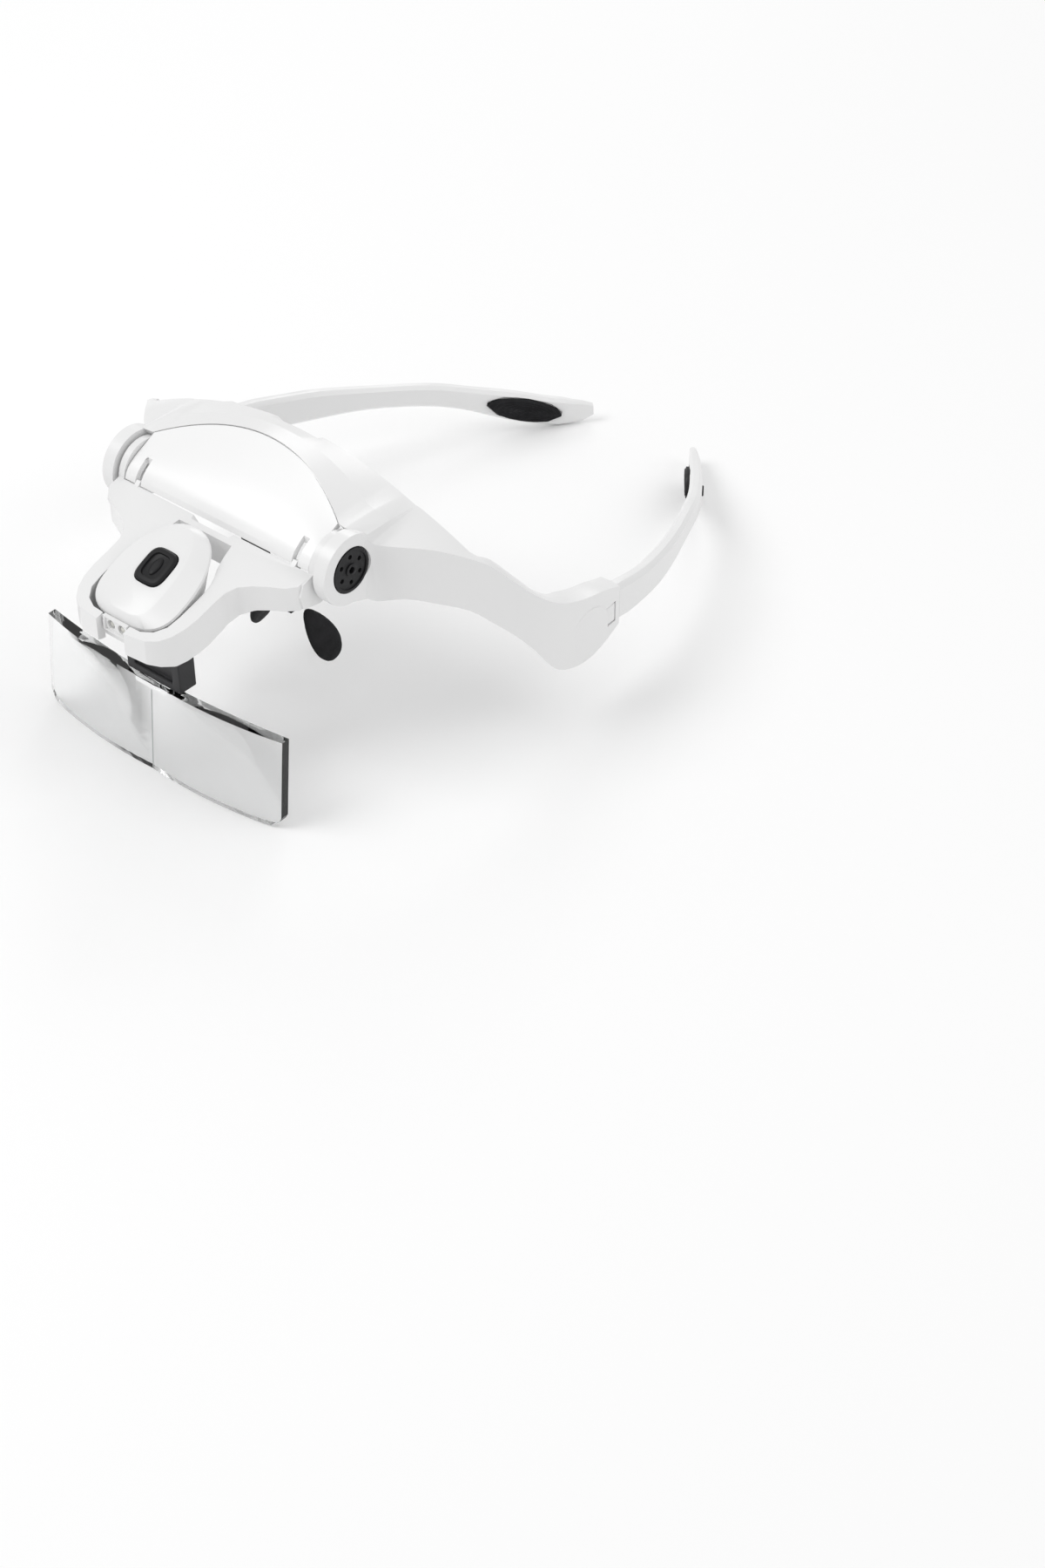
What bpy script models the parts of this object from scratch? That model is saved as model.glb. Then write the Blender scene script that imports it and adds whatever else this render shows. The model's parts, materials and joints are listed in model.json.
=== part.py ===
"""Head visor magnifier: a brow frame with temple arms, a flip-up bracket, a
tilting lamp and a clip-on acrylic lens.

Metres, +Z up. The wearer looks along -Y and the wearer's left is +X. Shapes are
written from the hub line, the axis the bracket flips about, and placed by HUB_Y
and HUB_Z so that the visor rests on z = 0 with its outline centred.
"""
import bpy
import bmesh
from math import cos, sin, pi, radians
from mathutils import Vector
from mathutils.geometry import interpolate_bezier

# ---------------------------------------------------------------- sizes
HUB_Y = -0.0670
HUB_Z = 0.0656

GAP = 0.0003              # between neighbouring pieces
RUNNING_FIT = 0.0001      # radial, on turning bores
PAST = 0.0010             # how far a cutting shape runs past the face it opens
SEGMENTS = 36             # round a full circle
WELD = 0.000003           # points nearer than this are one point

# brow frame
BAND_WALL = 0.0024        # skin of the band and of the wings near the hubs
SOCKET_WALL = 0.0060      # wing thickness round the arm sockets
RIM_FLANGE = 0.0010       # how far the rim stands in from the wing's inner face
ARCH_Y = 0.0141           # middle of the arch the face plate fits into
ARCH_Z = 0.0179
ARCH_SWEEP = 8.5          # how fast the arch runs back to the sides (1/m)
ARCH_DROP = 6.3           # how fast it falls to the sides (1/m)
ARCH_HALF = 0.0355
ARCH_SLOPE = radians(31)  # fall of the plate where it meets the arch
ARCH_LIP = 0.0024
ARCH_STEPS = 28
LIP_WALL = 0.0016
SHOULDER = (0.0026, 0.0104)   # front edge of the band over the hubs
SHOULDERS = (0.0379, 0.0387)
RIM_Y = 0.0262
RIM_Z = 0.0153
RIM_DROP = 4.5
BAND_CROWN = 0.0006
NOTCH_TOP = 0.0093        # half widths of the notch in the rim
NOTCH_FOOT = 0.0049
NOTCH_DEPTH = 0.0021

# hubs
CHEEK_IN = 0.0384
CHEEK_OUT = 0.0425
CHEEK_RADIUS = 0.0105
CAP_RADIUS = 0.0066
CAP_THICK = 0.0014
CAP_PROUD = 0.0002
SCREW_RADIUS = 0.0020
SCREW_HEAD_RADIUS = 0.0034
SCREW_HEAD = 0.0010
WASHER_RADIUS = 0.0060
WASHER_THICK = 0.0005

# face plate
PLATE_HALF = 0.0350
PLATE_STEPS = 28
PLATE_WALL = 0.0018
PLATE_FOOT_Y = -0.0088
PLATE_FOOT_Z = 0.0009
BOSS_RADIUS = 0.0045
BOSS_LENGTH = 0.0042
LUG_X = 0.0300
LUG_THICK = 0.0016
LUG_SLOT = 0.0022

# bracket
DISC_IN = 0.0353
DISC_OUT = 0.0375
DISC_RADIUS = 0.0090
BRACKET_EDGE = 0.0092     # rear top edge, from the hub line
BRACKET_SLOPE = 0.29      # fall of the top face, forwards
WELL_REAR = -0.0124
LEG_IN = 0.0151
LEG_OUT = 0.0199
TROUGH_X = (0.0128, 0.0310)
FLOOR_REAR = -0.0262
FLOOR_FRONT = -0.0452
FLOOR_Z = -0.0167         # underside at its rear edge
FLOOR_FALL = 0.0020       # how much lower the front edge is
FLOOR_THICK = 0.0014
FRONT_GAP = 0.0052        # half width of the opening for the lamp's nose
BEAM_FOOT = -0.0190       # underside of the beam over the clip
BEAM_MARGIN = 0.0020      # how far the beam over the clip reaches past it
REAR_NOTCH_TOP = 0.0092   # half widths and heights of the notch under the plate
REAR_NOTCH_FOOT = 0.0055
REAR_NOTCH_Z = (-0.0011, 0.0021)

# lamp
LAMP_Y = -0.0330
LAMP_Z = -0.0090
LAMP_PITCH = radians(25)
LAMP_HALF = 0.0146
LAMP_REAR = 0.0211
LAMP_FRONT = 0.0126
LAMP_TOP = 0.0058         # top face above the tilt axis, square to the top
LAMP_SEAM = 0.0033
LAMP_SHOULDER = 0.0020    # how far the top is drawn in from the seam, front and rear
RIDGE_HALF = 0.0082       # half width of the raised top
LAMP_WALL = 0.0013
LAMP_POINTS = 48          # points round its outline
FRONT_POWER = 2 / 3.0     # how square the front is
REAR_POWER = 2 / 2.15     # how round the rear is
FOOT_POWER = 2 / 2.6
BUTTON_POWER = 2 / 3.6
LAMP_BOTTOM = -0.0142     # from the hub line
PIN_RADIUS = 0.0012
PIN_LENGTH = 0.0046
PIN_PROUD = 0.0024        # how far a pin stands out of the lamp's side
FOOT_HALF = 0.0126        # the lamp's level underside
FOOT_REACH = 0.0104
HATCH_HALF = 0.0068
HATCH_Y = (-0.0370, -0.0254)
HATCH_THICK = 0.0010
NOSE_HALF = 0.0046        # block that holds the lamps
NOSE_Y = (-0.0476, -0.0420)
NOSE_Z = (-0.0148, -0.0119)
NOSE_LIP_Z = (-0.0147, -0.0102)
NOSE_LIP = 0.0012
NOSE_RECESS_HALF = 0.0039
NOSE_RECESS = 0.0006
BUTTON_HALF = 0.0049
BUTTON_LENGTH = 0.0113
BUTTON_AT = 0.0050        # behind the tilt axis
BUTTON_PROUD = 0.0008
BUTTON_EDGE = 0.0008      # slope round its top
BUTTON_DISH = 0.0006
BUTTON_RIM = 0.0018       # between its edge and its dish
BUTTON_PIP = 0.0014       # half width of the oval pip in the dish
BOARD_HALF = 0.0056
BOARD = (0.0018, 0.0026)  # under and upper face, square to the top
BOARD_ENDS = (-0.0012, 0.0100)
SWITCH_HALF = 0.0020
SWITCH_TOP = 0.0037
LED_RADIUS = 0.0011
LED_LENGTH = 0.0042
LED_Z = -0.0126
LED_SPACING = 0.0040
CELL_RADIUS = 0.00625
CELL_THICK = 0.0020
CELL_Y = -0.0312

# lens and clip
CLIP_HALF = 0.0104
CLIP_FRONT = -0.0360
CLIP_REAR = -0.0298
CLIP_BOTTOM = -0.0367
CLIP_TOP = -0.0272
POST_WIDTH = 0.0030
POST_TOP = -0.0164
LENS_HALF = 0.0462
LENS_TOP = -0.0370
LENS_BOTTOM = -0.0656
LENS_EDGE = 0.0026
LENS_BOW = 0.0039
LENS_LEAN = 0.095
LENS_BULGE = 0.0026
LENS_END_Y = -0.0331
LENS_CORNER = 0.0055
TAB_HALF = 0.0080         # tab that slides up into the clip
TAB_THICK = 0.0018
TAB_HEIGHT = 0.0035
TAB_Y = -0.0332
TAB_ROOT = 0.0020
CLIP_PANEL = 0.0012       # depth of the sunk panel in the clip's front
CLIP_SILL = 0.0024

# nose pads
PAD_LENGTH = 0.0195
PAD_WIDTH = 0.0122
PAD_THICK = 0.0020
PAD_CENTRE = (0.0118, 0.0178, -0.0455)

# arms
SEAM_Y = 0.0726
ARM_REACH = 0.1097        # from the seam back to the tip
ARM_THICK = 0.0046
SOCKET_X = 0.0737
TONGUE_BLADE = 0.0014
TONGUE_HEIGHT = 0.0070
TONGUE_END = 0.0580
ARM_SEAM_Z = -0.0353
LATCH_Y = 0.0675
LATCH_Z = -0.0362
LATCH_LENGTH = 0.0056
LATCH_HEIGHT = 0.0062
LATCH_THICK = 0.0018
LATCH_FACE = 0.0774       # outer face of a latch
CUSHION_THICK = 0.0016
CUSHION_HEIGHT = 0.0066
CUSHION_BED = 0.0004      # how deep a cushion sits in its arm
PLUG_RADIUS = 0.0017
PLUG_PROUD = 0.0005
PLUG_DEPTH = 0.0010
PLUG_SHARE = 0.73         # how far along the arm it sits


# ---------------------------------------------------------------- materials
def make_material(name, colour, roughness, metallic=0.0, transmission=0.0):
    material = bpy.data.materials.new(name)
    material.use_nodes = True
    shader = material.node_tree.nodes["Principled BSDF"]
    shader.inputs["Base Color"].default_value = (*colour, 1.0)
    shader.inputs["Roughness"].default_value = roughness
    shader.inputs["Metallic"].default_value = metallic
    shader.inputs["Transmission Weight"].default_value = transmission
    material.diffuse_color = (*colour, 1.0)
    return material


def make_materials():
    return {
        "white": make_material("white_abs", (0.88, 0.88, 0.88), 0.28),
        "plate": make_material("plate_abs", (0.93, 0.93, 0.93), 0.24),
        "black": make_material("black_abs", (0.02, 0.02, 0.022), 0.42),
        "grey": make_material("clip_abs", (0.055, 0.055, 0.06), 0.45),
        "rubber": make_material("black_rubber", (0.014, 0.014, 0.015), 0.70),
        "acrylic": make_material("clear_acrylic", (0.97, 0.98, 0.98), 0.03, 0.0, 1.0),
        "led": make_material("led_lens", (0.95, 0.95, 0.92), 0.10, 0.0, 0.6),
        "steel": make_material("steel", (0.62, 0.62, 0.63), 0.30, 1.0),
        "board": make_material("board_green", (0.05, 0.22, 0.10), 0.50),
    }


# ---------------------------------------------------------------- tools
def at(x, y, z):
    """A world point from its place relative to the hub line."""
    return Vector((x, y + HUB_Y, z + HUB_Z))


def loft(loops, skew=False):
    """A closed skin through loops that all have the same number of points."""
    mesh = bmesh.new()
    rows = [[mesh.verts.new(p) for p in loop] for loop in loops]
    count = len(rows[0])
    for near, far in zip(rows, rows[1:]):
        for i in range(count):
            j = (i + 1) % count
            mesh.faces.new((near[i], near[j], far[j], far[i]))
    if skew:
        bmesh.ops.triangulate(mesh, faces=mesh.faces)
    mesh.faces.new(rows[0])
    mesh.faces.new(rows[-1])
    bmesh.ops.recalc_face_normals(mesh, faces=mesh.faces)
    return mesh


def solid(name, mesh, material=None, pivot=None, smooth=False):
    """Put a bmesh into the scene with its origin on pivot, a world point."""
    pivot = pivot or Vector((0.0, 0.0, 0.0))
    bmesh.ops.translate(mesh, verts=mesh.verts, vec=-pivot)
    data = bpy.data.meshes.new(name)
    mesh.to_mesh(data)
    mesh.free()
    if smooth:
        data.shade_smooth()
        data.set_sharp_from_angle(angle=radians(35))
    item = bpy.data.objects.new(name, data)
    item.location = pivot
    bpy.context.scene.collection.objects.link(item)
    if material:
        data.materials.append(material)
    return item


def tidy(data):
    """Weld the points a cut leaves on top of each other, and close pinholes."""
    mesh = bmesh.new()
    mesh.from_mesh(data)
    bmesh.ops.remove_doubles(mesh, verts=mesh.verts, dist=WELD)
    bmesh.ops.dissolve_degenerate(mesh, edges=mesh.edges, dist=WELD)
    loose = [edge for edge in mesh.edges if not edge.link_faces]
    bmesh.ops.delete(mesh, geom=loose, context="EDGES")
    bmesh.ops.holes_fill(mesh, edges=mesh.edges, sides=6)
    bmesh.ops.recalc_face_normals(mesh, faces=mesh.faces)
    mesh.to_mesh(data)
    mesh.free()


def combine(target, mesh, operation):
    """Join a bmesh to target, cut it away, or keep what both share."""
    tool = solid("tool", mesh)
    modifier = target.modifiers.new("shape", "BOOLEAN")
    modifier.operation = operation
    modifier.solver = "EXACT"
    modifier.object = tool
    bpy.context.view_layer.update()
    graph = bpy.context.evaluated_depsgraph_get()
    shaped = bpy.data.meshes.new_from_object(target.evaluated_get(graph))
    tidy(shaped)
    target.modifiers.clear()
    target.data = shaped
    bpy.data.objects.remove(tool)


def cut(target, mesh):
    combine(target, mesh, "DIFFERENCE")


def join(target, mesh):
    combine(target, mesh, "UNION")


def prism_x(outline, low, high):
    """An outline of (y, z) points drawn along X."""
    return loft([[at(x, y, z) for y, z in outline] for x in (low, high)])


def prism_z(outline, low, high):
    """An outline of (x, y) points drawn along Z."""
    return loft([[at(x, y, z) for x, y in outline] for z in (low, high)])


def box(x, y, z):
    """A block between the two limits given for each axis."""
    corners = [(x[0], y[0]), (x[1], y[0]), (x[1], y[1]), (x[0], y[1])]
    return prism_z(corners, z[0], z[1])


def turns(count):
    """Angles that divide a full turn evenly."""
    return [2 * pi * i / count for i in range(count)]


def circle(y, z, radius, segments=SEGMENTS):
    return [(y + radius * cos(a), z + radius * sin(a)) for a in turns(segments)]


def rod_x(y, z, radius, low, high, segments=SEGMENTS):
    return prism_x(circle(y, z, radius, segments), low, high)


def ordered(side, inner, outer):
    """The two X limits on one side, low first."""
    return tuple(sorted((side * inner, side * outer)))


def lamp_point(x, along, up):
    """A point from the tilt axis: along the lamp's top face, and square to it."""
    y = LAMP_Y + along * cos(LAMP_PITCH) - up * sin(LAMP_PITCH)
    z = LAMP_Z + along * sin(LAMP_PITCH) + up * cos(LAMP_PITCH)
    return at(x, y, z)


def lamp_block(x, along, up):
    loops = []
    for level in up:
        loops.append([lamp_point(x[0], along[0], level), lamp_point(x[1], along[0], level),
                      lamp_point(x[1], along[1], level), lamp_point(x[0], along[1], level)])
    return loft(loops)


# ---------------------------------------------------------------- brow frame
def arch(x):
    return ARCH_Y - ARCH_SWEEP * x * x, ARCH_Z - ARCH_DROP * x * x


def band_rim(x):
    return RIM_Y, RIM_Z - RIM_DROP * x * x


def band_section(x, crease, rim):
    """One slice of the band at a given x: rim, crown, front edge and its lip."""
    mid_y = 0.5 * (rim[0] + crease[0])
    mid_z = 0.5 * (rim[1] + crease[1]) + BAND_CROWN
    out = (cos(ARCH_SLOPE), sin(ARCH_SLOPE))
    foot = (crease[0] + ARCH_LIP * out[1], crease[1] - ARCH_LIP * out[0])
    return [(x, rim[0], rim[1]), (x, mid_y, mid_z), (x, crease[0], crease[1]),
            (x, foot[0], foot[1]),
            (x, foot[0] + LIP_WALL * out[0], foot[1] + LIP_WALL * out[1]),
            (x, crease[0] + 0.0044, crease[1] - BAND_WALL),
            (x, mid_y + 0.0010, mid_z - BAND_WALL), (x, rim[0], rim[1] - BAND_WALL)]


# wing: outer face in plan, height of its upper edge and of its lower edge
WING = [(0.0424, 0.0052, 0.0078, -0.0120),
        (0.0442, 0.0080, 0.0046, -0.0138),
        (0.0500, 0.0130, 0.0036, -0.0132),
        (0.0555, 0.0186, 0.0022, -0.0152),
        (0.0620, 0.0252, -0.0010, -0.0182),
        (0.0665, 0.0294, -0.0040, -0.0224),
        (0.0706, 0.0338, -0.0094, -0.0272),
        (0.0740, 0.0386, -0.0148, -0.0335),
        (0.0762, 0.0445, -0.0196, -0.0420),
        (0.0772, 0.0500, -0.0222, -0.0450),
        (0.0778, 0.0565, -0.0240, -0.0458),
        (0.0778, 0.0640, -0.0256, -0.0445),
        (0.0770, SEAM_Y, -0.0288, -0.0418)]
WING_PARTS = 3            # slices between two of these stations
WING_FREE = (4, 5)        # over this stretch the wing leaves the band
WING_THICK = (7, 9)       # over this one it thickens to hold the arm socket
WING_CROWN = 0.0003


def share_of(value, stretch):
    """How far value has come along a stretch, held to 0 before it and 1 after."""
    return min(1.0, max(0.0, (value - stretch[0]) / (stretch[1] - stretch[0])))


def wing_at(place):
    """The wing's sizes at a place along its stations, on a smooth curve through them."""
    last = len(WING) - 1
    i = min(int(place), last - 1)
    t = place - i
    rows = [Vector(WING[min(max(k, 0), last)]) for k in (i - 1, i, i + 1, i + 2)]
    before, start, end, after = rows
    leave = 0.5 * (end - before)
    reach = 0.5 * (after - start)
    return ((2 * t ** 3 - 3 * t ** 2 + 1) * start + (t ** 3 - 2 * t ** 2 + t) * leave
            + (3 * t ** 2 - 2 * t ** 3) * end + (t ** 3 - t ** 2) * reach)


def wing_normal(place):
    """Unit plan direction into the visor at a place along the wing."""
    last = len(WING) - 1
    if place >= last:
        return Vector((-1.0, 0.0))
    a = wing_at(max(place - 0.5, 0))
    b = wing_at(min(place + 0.5, last))
    along = Vector((b[0] - a[0], b[1] - a[1])).normalized()
    return Vector((-along.y, along.x))


def wing_section(place, side):
    x, y, top, foot = wing_at(place)
    inward = wing_normal(place)
    wall = BAND_WALL + share_of(place, WING_THICK) * (SOCKET_WALL - BAND_WALL)
    inner = Vector((x, y)) + inward * wall
    band = Vector((x, max(RIM_Y + 0.0004 * place, y + 0.0034), RIM_Z - RIM_DROP * x * x))
    edge = Vector((x, y)) + inward * (wall + RIM_FLANGE)
    rim = band.lerp(Vector((edge.x, edge.y, top)), share_of(place, WING_FREE))
    middle = (0.5 * (x + rim.x), 0.5 * (y + rim.y), 0.5 * (top + rim.z) + WING_CROWN)
    points = [rim, middle, (x, y, top), (x, y, foot), (inner.x, inner.y, foot),
              (inner.x, inner.y, top - BAND_WALL),
              (0.5 * (inner.x + rim.x), 0.5 * (inner.y + rim.y), middle[2] - BAND_WALL),
              (rim.x, rim.y, rim.z - BAND_WALL)]
    return [at(side * p[0], p[1], p[2]) for p in points]


def band_slice(x, crease):
    return [at(*p) for p in band_section(x, crease, band_rim(x))]


def frame_loops():
    """Slices from the tip of one wing, over the band, to the tip of the other."""
    places = [k / WING_PARTS for k in range(WING_PARTS * (len(WING) - 1) + 1)]
    half = [wing_section(place, -1) for place in reversed(places)]
    half += [band_slice(-x, SHOULDER) for x in reversed(SHOULDERS)]
    middle = []
    for i in range(ARCH_STEPS + 1):
        x = ARCH_HALF * (2.0 * i / ARCH_STEPS - 1.0)
        middle.append(band_slice(x, arch(x)))
    other = [band_slice(x, SHOULDER) for x in SHOULDERS]
    other += [wing_section(place, 1) for place in places]
    return half + middle + other


def cheek_outline():
    """The lobe round a hub, drawn back to meet the wing."""
    sweep = [radians(55 + 215 * i / 24) for i in range(25)]
    lobe = [(CHEEK_RADIUS * cos(a), CHEEK_RADIUS * sin(a)) for a in sweep]
    return lobe + [(0.0060, -0.0126), (0.0085, -0.0126), (0.0085, 0.0040)]


def socket_cut(side):
    """The pocket that takes an arm's tongue, open at the seam."""
    half = 0.5 * TONGUE_BLADE + 0.0002
    x = ordered(side, SOCKET_X - half, SOCKET_X + half)
    z = 0.5 * TONGUE_HEIGHT + 0.0002
    return box(x, (TONGUE_END - 0.0008, SEAM_Y + 0.01), (ARM_SEAM_Z - z, ARM_SEAM_Z + z))


def latch_window(side):
    x = ordered(side, SOCKET_X, SOCKET_X + 0.02)
    y = 0.5 * LATCH_LENGTH + GAP
    z = 0.5 * LATCH_HEIGHT + GAP
    return box(x, (LATCH_Y - y, LATCH_Y + y), (LATCH_Z - z, LATCH_Z + z))


def make_frame(materials):
    frame = solid("head_frame", loft(frame_loops()), materials["white"])
    for side in (-1, 1):
        join(frame, prism_x(cheek_outline(), *ordered(side, CHEEK_IN, CHEEK_OUT)))
        floor = CHEEK_OUT + CAP_PROUD - CAP_THICK - GAP
        recess = ordered(side, floor, CHEEK_OUT + 0.01)
        cut(frame, rod_x(0, 0, CAP_RADIUS + GAP, *recess))
        bore = ordered(side, CHEEK_IN - 0.01, CHEEK_OUT)
        cut(frame, rod_x(0, 0, SCREW_RADIUS + RUNNING_FIT, *bore))
        seat = ordered(side, floor - SCREW_HEAD, CHEEK_OUT + 0.01)
        cut(frame, rod_x(0, 0, SCREW_HEAD_RADIUS + GAP, *seat))
        cut(frame, socket_cut(side))
        cut(frame, latch_window(side))
    foot = RIM_Z - NOTCH_DEPTH
    top = RIM_Z + 0.004
    slope = (NOTCH_TOP - NOTCH_FOOT) / NOTCH_DEPTH
    wide = NOTCH_FOOT + slope * (top - foot)
    notch = [[at(x, y, z) for x, z in ((-NOTCH_FOOT, foot - 0.004), (NOTCH_FOOT, foot - 0.004),
                                       (NOTCH_FOOT, foot), (wide, top), (-wide, top),
                                       (-NOTCH_FOOT, foot))]
             for y in (RIM_Y - 0.0019, RIM_Y + 0.01)]
    cut(frame, loft(notch))
    frame.data.shade_smooth()
    frame.data.set_sharp_from_angle(angle=radians(40))
    return frame


# ---------------------------------------------------------------- face plate
def plate_profile(x, steps=10):
    """The plate's outer face at x, from its foot up to the arch."""
    top_y, top_z = arch(x)
    fall = ARCH_SLOPE
    reach = 0.012 - 5.5 * x * x
    foot = Vector((PLATE_FOOT_Y, 0.0, PLATE_FOOT_Z))
    rise = foot + Vector((0.0006, 0.0, 0.0048))
    gap = GAP + 0.0001
    end = Vector((top_y - gap * cos(fall), 0.0, top_z - gap * sin(fall)))
    lead = end - reach * Vector((cos(fall), 0.0, sin(fall)))
    points = interpolate_bezier(foot, rise, lead, end, steps)
    return [(p.x, p.z) for p in points]


def plate_section(x):
    outer = plate_profile(x)
    inner = []
    for i, (y, z) in enumerate(outer):
        a = outer[max(i - 1, 0)]
        b = outer[min(i + 1, len(outer) - 1)]
        along = Vector((b[0] - a[0], b[1] - a[1])).normalized()
        inner.append((y + PLATE_WALL * along.y, z - PLATE_WALL * along.x))
    return [at(x, y, z) for y, z in outer + inner[::-1]]


def make_plate(materials):
    steps = range(PLATE_STEPS + 1)
    stations = [PLATE_HALF * (2.0 * i / PLATE_STEPS - 1.0) for i in steps]
    plate = solid("face_plate", loft([plate_section(x) for x in stations]), materials["plate"])
    for side in (-1, 1):
        boss = ordered(side, PLATE_HALF - BOSS_LENGTH, PLATE_HALF - 0.0001)
        join(plate, rod_x(0, 0, BOSS_RADIUS, *boss))
        web = ordered(side, PLATE_HALF - 0.0028, PLATE_HALF - 0.0002)
        join(plate, box(web, (-0.0025, 0.0019), (0.0028, 0.0067)))
        bore = ordered(side, PLATE_HALF - BOSS_LENGTH - 0.001, PLATE_HALF + 0.001)
        cut(plate, rod_x(0, 0, SCREW_RADIUS + RUNNING_FIT, *bore))
        slot = ordered(side, LUG_X - 0.5 * LUG_SLOT, LUG_X + 0.5 * LUG_SLOT)
        cut(plate, box(slot, (-0.0120, -0.0034), (-0.0010, 0.0080)))
    plate.data.shade_smooth()
    plate.data.set_sharp_from_angle(angle=radians(40))
    return plate


# ---------------------------------------------------------------- bracket
def bracket_top(y):
    return 0.0008 - BRACKET_SLOPE * (-BRACKET_EDGE - y)


def bracket_plan():
    """Half of the bracket seen from above, hub end to front."""
    outer = [(0.0368, -0.0108), (0.0364, -0.0142), (0.0336, -0.0164), (0.0290, -0.0182),
             (0.0251, -0.0201), (0.0218, -0.0224), (0.0202, -0.0255), (LEG_OUT, -0.0300),
             (LEG_OUT, -0.0360), (0.0193, -0.0400), (0.0180, -0.0436), (0.0158, -0.0465),
             (0.0124, -0.0484), (FRONT_GAP, -0.0493)]
    inner = [(FRONT_GAP, -0.0467), (0.0090, -0.0465), (0.0124, -0.0449), (0.0146, -0.0418),
             (LEG_IN, -0.0375), (LEG_IN, -0.0290), (0.0146, -0.0256), (0.0136, -0.0229),
             (0.0123, -0.0206), (0.0109, -0.0165), (0.0100, WELL_REAR)]
    return outer, inner


def bracket_outline():
    outer, inner = bracket_plan()
    half = [(0.0350, -0.0070)] + outer + inner
    return half + [(-x, y) for x, y in reversed(half)]


def bracket_side():
    """The bracket seen from the side: sloping top, deeper towards the front."""
    back = [(-BRACKET_EDGE, 0.0008), (-0.0094, -0.0030), (-0.0099, -0.0066), (-0.0112, -0.0080)]
    under = [(-0.0160, -0.0086), (-0.0196, -0.0100), (-0.0232, -0.0126), (-0.0270, -0.0150),
             (-0.0320, -0.0170), (-0.0430, -0.0190), (-0.0480, -0.0182), (-0.0520, -0.0170)]
    return back + under + [(-0.0520, bracket_top(-0.0520))]


def disc_arm():
    """The short arm from the crossbar up to a hub disc, seen from the side."""
    return [(-0.0020, -0.0084), (-0.0070, -0.0093), (-0.0130, -0.0082), (-0.0142, -0.0040),
            (-0.0130, -0.0004), (-BRACKET_EDGE, 0.0008), (-0.0060, 0.0006)]


def trough():
    """The hollow under each half of the crossbar, seen from the side."""
    return [(-0.0112, -0.0200), (-0.0112, -0.0022), (-0.0144, -0.0032), (-0.0144, -0.0200)]


def lug_side():
    """A lug behind the crossbar, which swings through the plate's slot."""
    return [(-0.0100, -0.0020), (-0.0066, -0.0006), (-0.0066, 0.0010), (-0.0082, 0.0020),
            (-0.0100, 0.0004)]


def bracket_floor():
    """The shelf under the lamp, seen from the side."""
    front = FLOOR_Z - FLOOR_FALL
    return [(FLOOR_REAR, FLOOR_Z), (FLOOR_FRONT, front), (FLOOR_FRONT, front + FLOOR_THICK),
            (FLOOR_REAR, FLOOR_Z + FLOOR_THICK)]


def clip_beam():
    """The thicker stretch of the shelf that the clip's posts slide in."""
    rear = CLIP_REAR + BEAM_MARGIN
    front = CLIP_FRONT - BEAM_MARGIN
    return [(rear, BEAM_FOOT), (front, BEAM_FOOT), (front, BEAM_FOOT + 0.0026),
            (rear, BEAM_FOOT + 0.0030)]


def rear_notch():
    """The notch in the crossbar's rear edge, under the face plate's foot."""
    foot, top = REAR_NOTCH_Z
    outline = [(-REAR_NOTCH_FOOT, foot), (REAR_NOTCH_FOOT, foot), (REAR_NOTCH_TOP, top),
               (REAR_NOTCH_TOP, 0.006), (-REAR_NOTCH_TOP, 0.006), (-REAR_NOTCH_TOP, top)]
    return loft([[at(x, y, z) for x, z in outline] for y in (-0.0106, -0.0060)])


def make_bracket(materials):
    bracket = solid("lens_bracket", prism_z(bracket_outline(), -0.030, 0.010),
                    materials["white"], at(0, 0, 0))
    combine(bracket, prism_x(bracket_side(), -0.050, 0.050), "INTERSECT")
    for side in (-1, 1):
        cut(bracket, prism_x(trough(), *ordered(side, *TROUGH_X)))
        disc = ordered(side, DISC_IN, DISC_OUT)
        join(bracket, rod_x(0, 0, DISC_RADIUS, *disc))
        join(bracket, prism_x(disc_arm(), *ordered(side, DISC_IN + 0.0001, DISC_OUT - 0.0003)))
        bore = ordered(side, DISC_IN - PAST, DISC_OUT + PAST)
        cut(bracket, rod_x(0, 0, SCREW_RADIUS + RUNNING_FIT, *bore))
        lug = ordered(side, LUG_X - 0.5 * LUG_THICK, LUG_X + 0.5 * LUG_THICK)
        join(bracket, prism_x(lug_side(), *lug))
        leg = ordered(side, LEG_IN - PAST, LAMP_HALF + PIN_PROUD + GAP)
        cut(bracket, rod_x(LAMP_Y, LAMP_Z, PIN_RADIUS + RUNNING_FIT, *leg))
    reach = LEG_IN + 0.0012
    join(bracket, prism_x(bracket_floor(), -reach, reach))
    reach = LEG_IN + 0.0010
    join(bracket, prism_x(clip_beam(), -reach, reach))
    for side in (-1, 1):
        x = ordered(side, CLIP_HALF - POST_WIDTH - GAP, CLIP_HALF + GAP)
        cut(bracket, box(x, (CLIP_FRONT - GAP, CLIP_REAR + GAP), (-0.030, -0.010)))
    cut(bracket, rear_notch())
    bracket.data.shade_smooth()
    bracket.data.set_sharp_from_angle(angle=radians(38))
    return bracket


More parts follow.
